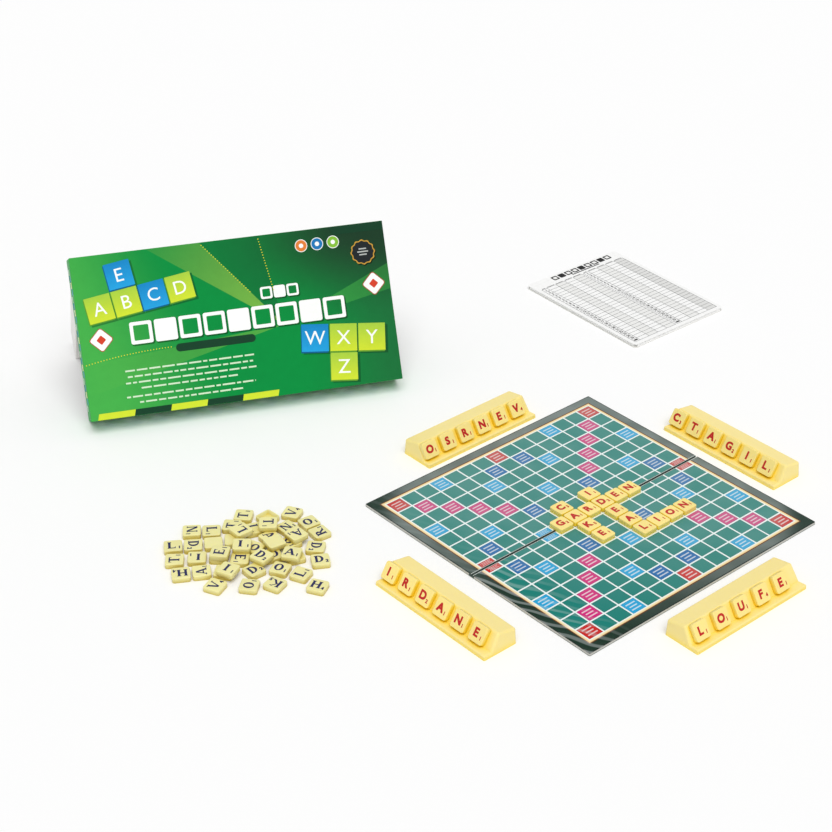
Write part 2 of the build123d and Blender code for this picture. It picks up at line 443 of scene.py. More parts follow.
# Letter tiles

tileStyle = {
    "side": 19.4, "corner": 2.6, "edge": 0.8, "foot": 0.25, "wall": 1.8, "roof": 2.0, "leastCorner": 0.4,
    "cornerSteps": 5, "edgeSteps": 3, "inkLift": 0.03, "strikes": 3, "blankShare": 0.05, "seed": 11,
}
# height of the letter and of its value, and their places, as shares of the tile's side
laidTile = {
    "slot": "laid_tile", "ink": "#C01A14", "roman": False,
    "letter": (0.46, -0.08, 0.03), "value": (0.2, 0.29, -0.15),
}
looseTile = {
    "slot": "loose_tile", "ink": "#0A1150", "roman": True,
    "letter": (0.58, -0.08, 0.02), "value": (0.23, 0.34, -0.19),
}


def ringPoints(half, radius, height, steps):
    points = []
    for quarter in range(4):
        turn = radians(90 * quarter)
        centre = Vector((half - radius, half - radius, 0))
        centre.rotate(Matrix.Rotation(turn, 3, "Z"))
        for step in range(steps + 1):
            angle = turn + radians(90 * step / steps)
            points.append(centre + Vector((radius * cos(angle), radius * sin(angle), height)))
    return points


def tileMesh(size):
    # moulded tile with its face at the origin and its hollow below
    corner, edge, foot, wall, roof, leastCorner = (
        tileStyle[key] * mm for key in ("corner", "edge", "foot", "wall", "roof", "leastCorner"))
    half, height, steps = size.x / 2, size.z, tileStyle["cornerSteps"]
    profile = [(wall, -roof), (wall, -height), (foot, -height), (0, foot - height)]
    for step in range(tileStyle["edgeSteps"] + 1):
        angle = radians(90 * step / tileStyle["edgeSteps"])
        profile.append((edge * (1 - cos(angle)), edge * (sin(angle) - 1)))
    tile = bmesh.new()
    loops = []
    for inset, level in profile:
        radius = max(corner - inset, leastCorner)
        loops.append([tile.verts.new(p) for p in ringPoints(half - inset, radius, level, steps)])
    for inner, outer in zip(loops, loops[1:]):
        for k in range(len(inner)):
            n = (k + 1) % len(inner)
            tile.faces.new((inner[k], inner[n], outer[n], outer[k]))
    tile.faces.new(loops[-1])
    tile.faces.new(loops[0])
    bmesh.ops.recalc_face_normals(tile, faces=tile.faces)
    for face in tile.faces:
        face.smooth = len(face.verts) == 4
    return finishedMesh("tile", tile)


def placeTree():
    # copies of one object, each on a point with its own turn and size
    tree = bpy.data.node_groups.new("placeCopies", "GeometryNodeTree")
    tree.interface.new_socket("Geometry", in_out="OUTPUT", socket_type="NodeSocketGeometry")
    for label, kind in (("Geometry", "Geometry"), ("Copy", "Object"), ("Material", "Material")):
        tree.interface.new_socket(label, in_out="INPUT", socket_type=f"NodeSocket{kind}")
    given = addNode(tree, "NodeGroupInput").outputs
    copied = addNode(tree, "GeometryNodeObjectInfo", {"Object": given["Copy"]})
    turn, size = (
        addNode(tree, "GeometryNodeInputNamedAttribute", {"Name": label},
                data_type="FLOAT_VECTOR").outputs["Attribute"] for label in ("turn", "size"))
    placed = addNode(tree, "GeometryNodeInstanceOnPoints", {
        "Points": given["Geometry"], "Instance": copied.outputs["Geometry"],
        "Rotation": addNode(tree, "FunctionNodeEulerToRotation", {0: turn}), "Scale": size})
    joined = addNode(tree, "GeometryNodeRealizeInstances", {"Geometry": placed})
    finish = addNode(tree, "GeometryNodeSetMaterial", {"Geometry": joined, "Material": given["Material"]})
    addNode(tree, "NodeGroupOutput", {"Geometry": finish})
    return tree


placeCopies = placeTree()


def placeMesh(copyMesh, places, material, shades=None, inks=None):
    # one plain mesh with a copy at each matrix of the list
    seed = bpy.data.meshes.new("places")
    seed.from_pydata([place.translation for place in places], [], [])
    marks = [
        ("turn", "FLOAT_VECTOR", "vector", [place.to_euler("XYZ") for place in places]),
        ("size", "FLOAT_VECTOR", "vector", [place.to_scale() for place in places]),
        ("shade", "FLOAT", "value", shades or [0.5] * len(places)),
        ("ink", "FLOAT_COLOR", "color", inks),
    ]
    for label, kind, field, values in marks if inks else marks[:3]:
        seed.attributes.new(label, kind, "POINT")
        for point, value in zip(seed.attributes[label].data, values):
            setattr(point, field, value)
    copied, holder = newObject("copy", copyMesh), newObject("places", seed)
    modifier = holder.modifiers.new("places", "NODES")
    modifier.node_group = placeCopies
    for item in placeCopies.interface.items_tree:
        if item.name in ("Copy", "Material"):
            modifier[item.identifier] = copied if item.name == "Copy" else material
    graph = bpy.context.evaluated_depsgraph_get()
    grown = bpy.data.meshes.new_from_object(
        holder.evaluated_get(graph), preserve_all_data_layers=True, depsgraph=graph)
    holder.modifiers.clear()
    bpy.data.objects.remove(holder)
    bpy.data.objects.remove(copied)
    if len(grown.materials) > 1 and grown.materials[0] is None:
        grown.materials.pop(index=0)
    return grown


# each run: two levels, and what they turn into
plasticStyle = {
    "scatter": 1.5, "scatterReach": (1.0, 0.85, 0.25), "flow": 14.0, "paintedShadeReach": 9.0, "skin": 0.5,
    "cornerRun": (0.25, 0.95, 1.0, 0.0), "shadeRun": (0.5, 1.5, 0.965, 1.03),
}


def mouldedPlastic(name, face, deep, roughness):
    # injection-moulded styrene: satin skin, each moulding a shade off, with painted shade that runs the
    # colour to a deeper yellow in its corners and gaps
    style = plasticStyle
    material, tree, shader = newMaterial(name, {
        "Roughness": roughness, "Subsurface Weight": 0.12, "Subsurface Scale": style["scatter"] * mm,
        "Subsurface Radius": style["scatterReach"], "IOR": 1.5, "Specular IOR Level": 0.35})
    place = addNode(tree, "ShaderNodeTexCoord").outputs["Object"]
    shade = addNode(tree, "ShaderNodeAttribute", attribute_name="shade").outputs["Fac"]
    # painted shade: ambient occlusion mixes the face colour towards the deep colour in corners and in the
    # gaps between parts
    corner = addNode(tree, "ShaderNodeAmbientOcclusion", {"Distance": style["paintedShadeReach"] * mm}, samples=8)
    cornerShade = addNode(tree, "ShaderNodeMapRange", {
        "Value": corner.outputs["AO"], **between(*style["cornerRun"])})
    colour = addNode(tree, "ShaderNodeMix", {"Factor": cornerShade, 6: toLinear(face), 7: toLinear(deep)},
                     data_type="RGBA")
    flow = addNode(tree, "ShaderNodeTexNoise", {
        "Vector": place, "Scale": 1 / (style["flow"] * mm), "Detail": 3.0})
    level = addNode(tree, "ShaderNodeMath", {0: flow, 1: shade}, operation="ADD")
    level = addNode(tree, "ShaderNodeMapRange", {"Value": level, **between(*style["shadeRun"])})
    shaded = addNode(tree, "ShaderNodeVectorMath", {0: colour.outputs[2], 1: level}, operation="MULTIPLY")
    skin = addNode(tree, "ShaderNodeTexNoise", {"Vector": place, "Scale": 1 / (style["skin"] * mm)})
    bump = addNode(tree, "ShaderNodeBump", {"Height": skin, "Strength": 0.15, "Distance": 0.01 * mm})
    feed(tree, shader, {"Base Color": shaded, "Normal": bump})
    return material


# each plastic's second colour is its painted shade in corners and gaps
laidTile["plastic"] = mouldedPlastic("warmYellowStyrene", "#FEE68D", "#FBDA08", 0.38)
looseTile["plastic"] = mouldedPlastic("paleYellowStyrene", "#EFE8A4", "#D2BC48", 0.34)
rackPlastic = mouldedPlastic("rackStyrene", "#FFEA98", "#FFDC04", 0.42)
tileInk = inkMaterial("hotStampedInk", 0.35, 3.0)
chance = random.Random(tileStyle["seed"])
tileSize = solidFrames("tile_garden_g", always((0, 1, 0)))[0][1]
oneTile = tileMesh(tileSize)


def letterPlates(matrix, letter, style):
    side, strikes = tileStyle["side"] * mm, tileStyle["strikes"]
    glyph = romanGlyph(letter) if style["roman"] else sansGlyph(letter, strikes)
    value = sansGlyph(str(letterValues[letter]), strikes)
    plates = []
    for polygons, (height, x, y) in ((glyph, style["letter"]), (value, style["value"])):
        place = matrix @ Matrix.Translation((x * side, y * side, tileStyle["inkLift"] * mm))
        plates.append((place @ Matrix.Scale(height * side, 4), polygons, style["ink"]))
    return plates


def tileGroup(name, body, nodes, frames, letters, style):
    shades = [chance.random() for place in frames]
    addPiece(name, placeMesh(oneTile, frames, style["plastic"], shades), body, style["slot"], None, nodes)
    plates = []
    for place, letter in zip(frames, letters):
        plates += letterPlates(place, letter, style) if letter else []
    addPiece(f"{name}_print", plateMesh(name, plates), body, style["slot"], tileInk)


def makeWords():
    for half in ("far", "near"):
        body = f"word_tiles_{half}"
        nodes = bodyNodes[body]
        frames = [solidFrames(node, always((0, 1, 0)))[0][0] for node in nodes]
        tileGroup(f"laid_tiles_{half}", body, nodes, frames, [node[-1].upper() for node in nodes], laidTile)


# Racks and their letters

rackLetters = {"rack_left": "IRDANE", "rack_front": "LOUFE", "rack_right": "CTAGIL", "rack_back": "OSRNEV"}
rackStyle = {
    "wall": 1.8, "ledgeDepth": 10.0, "ledgeHeight": 5.2, "ridgeHeight": 22.3, "backHeight": 18.0,
    "slope": 58.0, "draft": 5.0, "ledgeRound": 1.5, "ridgeRound": 3.0, "lipRound": 1.4, "endRound": 2.8,
    "steps": 8,
}


def roundCorner(before, corner, after, radius, steps):
    # points of the arc that rounds one corner of an outline
    ways = [(other - corner).normalized() for other in (before, after)]
    half = ways[0].angle(ways[1]) / 2
    centre = corner + (ways[0] + ways[1]).normalized() * radius / sin(half)
    start, end = (corner + way * radius / tan(half) - centre for way in ways)
    return [centre + start.slerp(end, k / steps).normalized() * radius for k in range(steps + 1)]


def movedIn(before, point, after, amount):
    # a point of an outline moved to its right, as far from both of its sides
    sides = [Vector((way.y, -way.x)).normalized() for way in (point - before, after - point)]
    return point + (sides[0] + sides[1]) * amount / (1 + sides[0].dot(sides[1]))


def rackOutline(depth):
    # the sharp corners of a rack's end, from its front foot over the top to its back foot,
    # with a point under each foot; a corner has the radius that rounds it
    style = rackStyle
    ledge, ridge = style["ledgeHeight"], style["ridgeHeight"]
    ridgeDepth = style["ledgeDepth"] + (ridge - ledge) / tan(radians(style["slope"]))
    corners = ((0, -1), (0, 0), (0, ledge), (style["ledgeDepth"], ledge), (ridgeDepth, ridge),
               (depth, style["backHeight"]), (depth, 0), (depth, -1))
    rounds = (0, 0, style["ledgeRound"], 0, style["ridgeRound"], style["ridgeRound"], 0, 0)
    return [Vector(corner) for corner in corners], rounds


def closeShell(shell, outside, inside):
    # faces between the rows of corners of both skins, at their ends, and between the skins
    for rows in (outside, inside):
        for row, other in zip(rows, rows[1:]):
            for k in range(len(row) - 1):
                shell.faces.new((row[k], row[k + 1], other[k + 1], other[k]))
        shell.faces.new(rows[0])
        shell.faces.new(rows[-1])
    for end in (0, -1):
        # the rim that stands on the table
        shell.faces.new((outside[end][0], outside[end][-1], inside[end][-1], inside[end][0]))
        shell.faces.new([row[end] for row in outside] + [row[end] for row in reversed(inside)])
    bmesh.ops.recalc_face_normals(shell, faces=shell.faces)


def rackMesh(length, depth):
    # moulded rack in millimetres, X along it and Y from its front: an even shell, open
    # underneath, whose ends lean inwards and roll over into its sides
    steps, wall, lean = rackStyle["steps"], rackStyle["wall"], tan(radians(rackStyle["draft"]))
    corners, rounds = rackOutline(depth)
    upper = range(1, len(corners) - 1)
    path, endRounds = [], []
    for i in upper:
        points = roundCorner(*corners[i - 1:i + 2], rounds[i], steps) if rounds[i] else [corners[i]]
        path += points
        endRounds += [rackStyle["lipRound" if i < 3 else "endRound"]] * len(points)
    path = [corners[0], *path, corners[-1]]
    inner = [movedIn(*corners[i - 1:i + 2], wall) for i in upper[1:-1]]
    inner = [Vector((wall, 0)), *inner, Vector((depth - wall, 0))]

    shell = bmesh.new()
    outside, inside = [], []
    for side, order in ((1, reversed(range(steps + 1))), (-1, range(steps + 1))):
        for turn in (radians(90 * step / steps) for step in order):
            row = []
            for i, radius in enumerate(endRounds):
                point = movedIn(*path[i:i + 3], radius * (1 - cos(turn)))
                reach = length / 2 - radius * (1 - sin(turn)) - point.y * lean
                row.append(shell.verts.new((side * reach, point.x - depth / 2, point.y)))
            outside.append(row)
        inside.append([
            shell.verts.new((side * (length / 2 - wall - point.y * lean), point.x - depth / 2, point.y))
            for point in inner])
    closeShell(shell, outside, inside)
    return finishedMesh("rack", shell)


def makeRacks():
    for rack, letters in rackLetters.items():
        frames = [place for place, size in solidFrames(f"{rack}_tiles", always((0, 0, 1)))]
        along = frames[0].col[0].to_3d()
        frames.sort(key=lambda place: place.translation.dot(along))
        low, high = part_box(rack)
        length, depth = (abs((high - low).dot(way)) / mm for way in (along, along.yxz))
        mesh = rackMesh(length, depth)
        turned = Matrix((along, Vector((0, 0, 1)).cross(along), (0, 0, 1))).transposed().to_4x4()
        middle = Matrix.Translation(((low.x + high.x) / 2, (low.y + high.y) / 2, low.z))
        mesh.transform(middle @ turned @ Matrix.Scale(mm, 4))
        addPiece(f"{rack}_shell", mesh, rack, "rack_plastic", rackPlastic, [rack])
        tileGroup(f"{rack}_letters", f"{rack}_letters", [f"{rack}_tiles"], frames, letters, laidTile)


# Heap of loose tiles

def heapGuides():
    while True:
        turn = chance.random() * 2 * pi
        yield Vector((cos(turn), sin(turn), 0))


def makeHeap():
    choices = sorted(romanStrokeTable) + list("AAOOTTRRLLDDII")
    blankShare = tileStyle["blankShare"]
    for node, body in (("heap_floor_tiles", "standing_set"), ("heap_top_tiles", "heap_top")):
        frames = [place for place, size in solidFrames(node, heapGuides())]
        letters = [None if chance.random() < blankShare else chance.choice(choices) for place in frames]
        tileGroup(f"loose_{node[5:]}", body, [node], frames, letters, looseTile)
    place, size = solidFrames("heap_turned_tile", always((0, 1, 0)))[0]
    low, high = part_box("heap_turned_tile")
    place.translation = Vector(((low.x + high.x) / 2, (low.y + high.y) / 2, low.z))
    shell = placeMesh(oneTile, [place @ Matrix.Rotation(pi, 4, "X")], looseTile["plastic"])
    addPiece("loose_turned_tile", shell, "standing_set", "loose_tile", None, ["heap_turned_tile"])


makeWords()
makeRacks()
makeHeap()
print("tiles ready")


# Printed shapes, drawn in millimetres on a plane

def rect(x0, y0, x1, y1, level=0.0):
    return [Vector(p) for p in ((x0, y0, level), (x1, y0, level), (x1, y1, level), (x0, y1, level))]


def disc(x, y, radius, level, steps=28, waves=0, depth=0.0):
    turns = [2 * pi * k / steps for k in range(steps)]
    reach = [radius * (1 + depth * cos(waves * turn)) for turn in turns]
    return [Vector((x + r * cos(t), y + r * sin(t), level)) for r, t in zip(reach, turns)]


def turnedSquare(x, y, side, degrees, level, corner=0.0, steps=4):
    half, spin = side / 2, Matrix.Rotation(radians(degrees), 3, "Z")
    points = ringPoints(half, corner, level, steps) if corner else rect(-half, -half, half, half, level)
    return [spin @ point + Vector((x, y, 0)) for point in points]


def mixed(first, second, share):
    share = min(max(share, 0.0), 1.0)
    return tuple(a + (b - a) * share for a, b in zip(first, second))


def eased(value):
    value = min(max(value, 0.0), 1.0)
    return value * value * (3 - 2 * value)


def printLevel(node):
    return Matrix.Translation((0, 0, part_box(node)[1].z)) @ Matrix.Scale(mm, 4)


# Board: laminated print on the two halves

boardStyle = {
    "print": 171.0, "seam": 1.4, "grid": 156.2, "pitch": 20.8, "cell": 18.9, "cellRim": 0.9, "cellSeam": 2.0,
    "frame": 159.2, "frameLine": 1.2, "edgeLine": 0.9, "seamLine": 0.75, "squares": 7, "layer": 0.02,
    "barLong": 13.0, "barShort": 10.5, "barHigh": 1.7, "barPitch": 4.6, "barPale": 0.55,
    "field": "#EEF8F6", "cream": "#FDF3CC", "gold": "#E9C688", "brown": "#6B3A16", "edge": "#0B1C15",
    "fold": "#CDD5CF", "plain": "#067C72", "red": "#C9221D", "pink": "#D0207A", "dark": "#0062A8",
    "light": "#1CA3D6",
}


def squareKind(column, row):
    # bonus squares lie the same way in all eight directions
    high, low = max(abs(column), abs(row)), min(abs(column), abs(row))
    places = {"red": ((7, 7), (7, 0)), "pink": ((6, 6), (5, 5), (4, 4), (3, 3), (0, 0)),
              "dark": ((6, 1), (2, 2)), "light": ((7, 4), (5, 2), (3, 0), (1, 1))}
    return next((kind for kind, spots in places.items() if (high, low) in spots), "plain")


# the length over which a wave texture of scale one repeats
waveLength = 0.314
# where the film's painted reflection and the painted highlights on its wrinkles lie
# each run: two places or levels, and the strength at each of them
filmStyle = {
    "farRun": (-310 * mm, 30 * mm, 0.0, 1.0), "cornerRun": (272 * mm, 325 * mm, 1.0, 0.1),
    "cloud": 38.0, "cloudRun": (0.35, 0.6, 0.78, 1.1), "sideRun": (-162 * mm, -105 * mm, 1.0, 0.0),
    "nearRun": (-12 * mm, 12 * mm, 1.0, 0.12), "foldTurn": 24.0, "foldPitch": 12.0,
    "foldRun": (0.45, 0.95, -0.35, 1.0), "foldHighlight": 0.26, "foldHeight": 0.5,
}


def filmHaze(tree, place, spot):
    # painted reflection: how far the film's reflection, painted into the colour, greys the side away from the
    # nearest corner
    run = addNode(tree, "ShaderNodeMath", {0: spot["Y"], 1: spot["X"]}, operation="ADD")
    paintedReflection = addNode(tree, "ShaderNodeMapRange", {"Value": run, **between(*filmStyle["farRun"])},
                   interpolation_type="SMOOTHSTEP")
    slant = addNode(tree, "ShaderNodeMath", {0: spot["X"], 1: spot["Y"]}, operation="SUBTRACT")
    slant = addNode(tree, "ShaderNodeMath", {0: slant}, operation="ABSOLUTE")
    corner = addNode(tree, "ShaderNodeMapRange", {"Value": slant, **between(*filmStyle["cornerRun"])},
                     interpolation_type="SMOOTHSTEP")
    cloud = addNode(tree, "ShaderNodeTexNoise", {
        "Vector": place, "Scale": 1 / (filmStyle["cloud"] * mm), "Detail": 1.0})
    cloud = addNode(tree, "ShaderNodeMapRange", {"Value": cloud, **between(*filmStyle["cloudRun"])})
    for share in (corner, cloud):
        paintedReflection = addNode(tree, "ShaderNodeMath", {0: paintedReflection, 1: share}, operation="MULTIPLY")
    return paintedReflection


def filmFolds(tree, place, spot):
    # wrinkles, and where they are: they run in from one side of the near half
    lay = addNode(tree, "ShaderNodeMapping", {
        "Vector": place, "Rotation": (0, 0, radians(filmStyle["foldTurn"]))}, vector_type="TEXTURE")
    folds = addNode(tree, "ShaderNodeTexWave", {
        "Vector": lay, "Scale": waveLength / (filmStyle["foldPitch"] * mm), "Distortion": 7.0,
        "Detail": 1.0, "Detail Scale": 0.55})
    side, near = (
        addNode(tree, "ShaderNodeMapRange", {"Value": spot[axis], **between(*filmStyle[run])},
                interpolation_type="SMOOTHSTEP") for axis, run in (("X", "sideRun"), ("Y", "nearRun")))
    where = addNode(tree, "ShaderNodeMath", {0: side, 1: near}, operation="MULTIPLY")
    return folds.outputs["Fac"], where


def laminateFinish(tree, shader, colour, paintedReflection, reflectionColour):
    # clear film over the print, wrinkled in places, with painted reflection greying it away from the near
    # corner and painted highlights along the wrinkles
    place = addNode(tree, "ShaderNodeTexCoord").outputs["Object"]
    spot = addNode(tree, "ShaderNodeSeparateXYZ", {0: place}).outputs
    far = filmHaze(tree, place, spot)
    folds, where = filmFolds(tree, place, spot)
    ridge = addNode(tree, "ShaderNodeMapRange", {"Value": folds, **between(*filmStyle["foldRun"])},
                    interpolation_type="SMOOTHSTEP")
    wrinkleHighlight = addNode(tree, "ShaderNodeMath", {0: where, 1: ridge}, operation="MULTIPLY")
    # painted reflection and painted highlights: the colour is mixed towards the reflection colour
    grey = addNode(tree, "ShaderNodeMath", {0: far, 1: paintedReflection}, operation="MULTIPLY")
    grey = addNode(tree, "ShaderNodeMath", {0: wrinkleHighlight, 1: filmStyle["foldHighlight"], 2: grey},
                   operation="MULTIPLY_ADD", use_clamp=True)
    film = addNode(tree, "ShaderNodeMix", {"Factor": grey, 6: colour, 7: toLinear(reflectionColour)}, data_type="RGBA")
    height = addNode(tree, "ShaderNodeMath", {0: where, 1: folds}, operation="MULTIPLY")
    bump = addNode(tree, "ShaderNodeBump", {
        "Height": height, "Strength": 0.6, "Distance": filmStyle["foldHeight"] * mm})
    feed(tree, shader, {"Base Color": film.outputs[2], "Normal": bump})


def laminate(name, paintedReflection, reflectionColour, plain=None, gloss=0.12):
    # gloss film laminated over offset print: a smooth clear skin with soft reflections, partly real gloss and
    # partly painted reflection in its colour
    material, tree, shader = newMaterial(name, {"Roughness": 0.3, "Specular IOR Level": gloss})
    if plain:
        place = addNode(tree, "ShaderNodeTexCoord").outputs["Object"]
        colour = cloudy(tree, place, 1.2, 2.0, plain, (0.35, 0.65))[1]
    else:
        ink = addNode(tree, "ShaderNodeAttribute", attribute_name="ink")
        rim = addNode(tree, "ShaderNodeAttribute", attribute_name="rim").outputs["Fac"]
        shade = addNode(tree, "ShaderNodeMapRange", {"Value": rim, "To Min": 1.0, "To Max": 0.55})
        colour = addNode(tree, "ShaderNodeVectorMath", {0: ink, 1: shade}, operation="MULTIPLY")
    laminateFinish(tree, shader, colour, paintedReflection, reflectionColour)
    return material


def plateCell(side, rim):
    # one printed square, with a rim that the ink darkens
    cell = bmesh.new()
    label = cell.verts.layers.float.new("rim")
    outer = [cell.verts.new(p) for p in rect(-side / 2, -side / 2, side / 2, side / 2)]
    inner = [cell.verts.new(p) for p in rect(rim - side / 2, rim - side / 2, side / 2 - rim, side / 2 - rim)]
    for corner in outer:
        corner[label] = 1.0
    for k in range(4):
        cell.faces.new((outer[k], outer[(k + 1) % 4], inner[(k + 1) % 4], inner[k]))
    cell.faces.new(inner)
    return finishedMesh("cell", cell)


def boardRing(sign, near, far, inside, outside):
    # a printed frame between two distances from the middle, mitred at its corners
    seam, layer = boardStyle["seam"], boardStyle["layer"]
    shades = [toLinear(inside)] * 2 + [toLinear(outside)] * 2
    outlines = (
        ((-near, seam), (-near, near), (-far, far), (-far, seam)),
        ((-near, near), (near, near), (far, far), (-far, far)),
        ((near, near), (near, seam), (far, seam), (far, far)),
    )
    return [([[Vector((x, sign * y, layer)) for x, y in outline]], shades) for outline in outlines]


def framePlates(sign):
    # the pale field under a half's squares, the frame round it and the line at the fold
    style = boardStyle
    grid, edge, reach, seam = (style[key] for key in ("grid", "frame", "print", "seam"))
    low, high = sorted((sign * seam, sign * grid))
    plates = [([rect(-grid, low, grid, high, style["layer"])], style["field"])]
    plates += boardRing(sign, grid, edge, style["cream"], style["gold"])
    plates += boardRing(sign, edge, edge + style["frameLine"], style["brown"], style["brown"])
    plates += boardRing(sign, reach - style["edgeLine"], reach, style["edge"], style["edge"])
    low, high = sorted((sign * seam, sign * (seam + style["seamLine"])))
    return plates + [([rect(-reach, low, reach, high, 2 * style["layer"])], style["fold"])]


def squarePlaces(sign, level):
    # places and inks of a half's squares, and of the short bars on its bonus squares
    style, layer = boardStyle, boardStyle["layer"]
    count, pitch, side = style["squares"], style["pitch"], style["cell"]
    cells, bars = [], []
    for column in range(-count, count + 1):
        for row in range(count + 1):
            kind = squareKind(column, row)
            ink = toLinear(style[kind])
            centre, high = sign * row * pitch, side
            if row == 0:
                # the fold cuts the middle row in two
                centre, high = sign * (style["cellSeam"] + side / 2) / 2, side / 2 - style["cellSeam"]
            spot = level @ Vector((column * pitch, centre, 2 * layer))
            cells.append((Matrix.Translation(spot) @ Matrix.Diagonal((1, high / side, 1, 1)), ink))
            if kind == "plain":
                continue
            for k in (-1, 0, 1):
                wide = style["barLong"] if k else style["barShort"]
                offset = k * style["barPitch"] * high / side
                spot = level @ Vector((column * pitch, centre + offset, 3 * layer))
                scale = Matrix.Diagonal((wide, style["barHigh"] * high / side, 1, 1))
                pale = mixed(ink, toLinear("#FFFFFF"), style["barPale"])
                bars.append((Matrix.Translation(spot) @ scale, pale))
    return cells, bars


pulpStyle = {"fibre": 1.6, "under": 0.6, "inner": 4.0, "pale": ("#B4B3AC", "#D2D1CB"), "lining": "#4A5852"}


def greyboardPulp():
    # pale pulp board with fibres, cut clean at its edge, and lined with dark paper
    # underneath and along the fold
    style = pulpStyle
    material, tree, shader = newMaterial("greyboardPulp", {"Roughness": 0.88, "Specular IOR Level": 0.2})
    place = addNode(tree, "ShaderNodeTexCoord").outputs["Object"]
    fibre, pulp = cloudy(tree, place, style["fibre"], 6.0, style["pale"], roughness=0.7)
    spot = addNode(tree, "ShaderNodeSeparateXYZ", {0: place}).outputs
    under = addNode(tree, "ShaderNodeMath", {0: spot["Z"], 1: style["under"] * mm}, operation="LESS_THAN")
    inner = addNode(tree, "ShaderNodeMath", {0: spot["Y"]}, operation="ABSOLUTE")
    inner = addNode(tree, "ShaderNodeMath", {0: inner, 1: style["inner"] * mm}, operation="LESS_THAN")
    lined = addNode(tree, "ShaderNodeMath", {0: under, 1: inner}, operation="MAXIMUM")
    colour = addNode(tree, "ShaderNodeMix", {"Factor": lined, 6: pulp, 7: toLinear(style["lining"])},
                     data_type="RGBA")
    bump = addNode(tree, "ShaderNodeBump", {"Height": fibre, "Strength": 0.35, "Distance": 0.08 * mm})
    feed(tree, shader, {"Base Color": colour.outputs[2], "Normal": bump})
    return material


clothStyle = {"thread": 1.381, "shades": ("#5E6A63", "#86918A"), "creaseShadeRun": (0.5 * mm, 0.9 * mm, 0.45, 1.0)}


def bookCloth():
    # bookbinder's cloth at the fold: grey-green plain weave with painted shade darkening the crease down the
    # middle, its threads drawn broader than real ones so that they show
    style = clothStyle
    material, tree, shader = newMaterial("bookCloth", {
        "Roughness": 0.9, "Sheen Weight": 0.15, "Specular IOR Level": 0.2})
    place = addNode(tree, "ShaderNodeTexCoord").outputs["Object"]
    threads = []
    for turn in (0.0, pi / 2):
        laid = addNode(tree, "ShaderNodeMapping", {"Vector": place, "Rotation": (0, 0, turn)})
        wave = addNode(tree, "ShaderNodeTexWave", {
            "Vector": laid, "Scale": waveLength / (style["thread"] * mm), "Distortion": 0.4})
        threads.append(wave.outputs["Fac"])
    weave = addNode(tree, "ShaderNodeMath", {0: threads[0], 1: threads[1]}, operation="MAXIMUM")
    thread = addNode(tree, "ShaderNodeValToRGB", {"Fac": weave})
    setStops(thread, (0.2, 0.95), style["shades"])
    away = addNode(tree, "ShaderNodeSeparateXYZ", {0: place}).outputs["Y"]
    away = addNode(tree, "ShaderNodeMath", {0: away}, operation="ABSOLUTE")
    # painted shade: the weave darkens towards the crease in the middle of the fold
    creaseShade = addNode(tree, "ShaderNodeMapRange", {"Value": away, **between(*style["creaseShadeRun"])})
    shadedThread = addNode(tree, "ShaderNodeVectorMath", {0: thread, 1: creaseShade}, operation="MULTIPLY")
    bump = addNode(tree, "ShaderNodeBump", {"Height": weave, "Strength": 0.5, "Distance": 0.1 * mm})
    feed(tree, shader, {"Base Color": shadedThread, "Normal": bump})
    return material


def makeBoard():
    # after each laminate's name come the share and the colour of its painted reflection
    border = laminate("laminatedBorder", 0.35, "#C4CECC", ("#132C21", "#1A3629"), 0.07)
    inked = laminate("laminatedPrint", 0.17, "#B2D2CE")
    bare = laminate("laminatedFrame", 0.0, "#FFFFFF")
    pulp, cloth = greyboardPulp(), bookCloth()
    cell = plateCell(boardStyle["cell"] * mm, boardStyle["cellRim"] * mm)
    bar = bpy.data.meshes.new("bar")
    bar.from_pydata(rect(-0.5 * mm, -0.5 * mm, 0.5 * mm, 0.5 * mm), [], [(0, 1, 2, 3)])
    dress("board_spine_cloth", cloth)
    for half, sign in (("far", 1), ("near", -1)):
        body, level = f"board_{half}", printLevel(f"board_print_{half}")
        for part, material in (("print", border), ("panel", pulp), ("cloth", cloth)):
            dress(f"board_{part}_{half}", material)
        printPiece(f"board_frame_{half}", body, "board_print", bare, level, framePlates(sign))
        cells, bars = squarePlaces(sign, level)
        for label, copied, pairs in (("squares", cell, cells), ("bars", bar, bars)):
            places, inks = zip(*pairs)
            grown = placeMesh(copied, places, inked, None, inks)
            addPiece(f"board_{label}_{half}", grown, body, "board_print")


makeBoard()
print("board ready")


# Box: printed card lid, propped on its plain base

# printed shapes lie whole layers apart, so that none shares a level with what it covers
lidStyle = {
    "face": (368.0, 188.0), "inset": 0.25, "gridSteps": (46, 24), "layer": 0.02, "seed": 5,
    "light": "#46AF4B", "deep": "#068C3F", "edge": "#1B6F3A", "dark": "#1C3B27", "white": "#FBFDFB",
    "lime": "#D3E436", "limeTop": "#A8CF45", "limeSide": "#5C9A32",
    "blue": "#27A3E0", "blueTop": "#1B86C6", "blueSide": "#14608F", "pill": "#17402A",
}


# where each green starts, over what length it takes over, and its slant; the dark green
# has its two reaches from the corner and its share there
lidGreens = {"deep": (-190.0, 150.0, 0.35), "edge": (60.0, 130.0, 0.0), "dark": (225.0, 105.0, 1.15)}


def lidGreen(x, y):
    # light at the left, deep at the right, near black-green in the upper right corner
    wide, high = lidStyle["face"]
    colour = toLinear(lidStyle["light"])
    for shade in ("deep", "edge"):
        start, length, slant = lidGreens[shade]
        colour = mixed(colour, toLinear(lidStyle[shade]), eased((x + slant * y - start) / length))
    across, down, share = lidGreens["dark"]
    away = Vector(((x - wide / 2) / across, (y - high / 2) / down)).length
    return mixed(colour, toLinear(lidStyle["dark"]), eased(share - away))


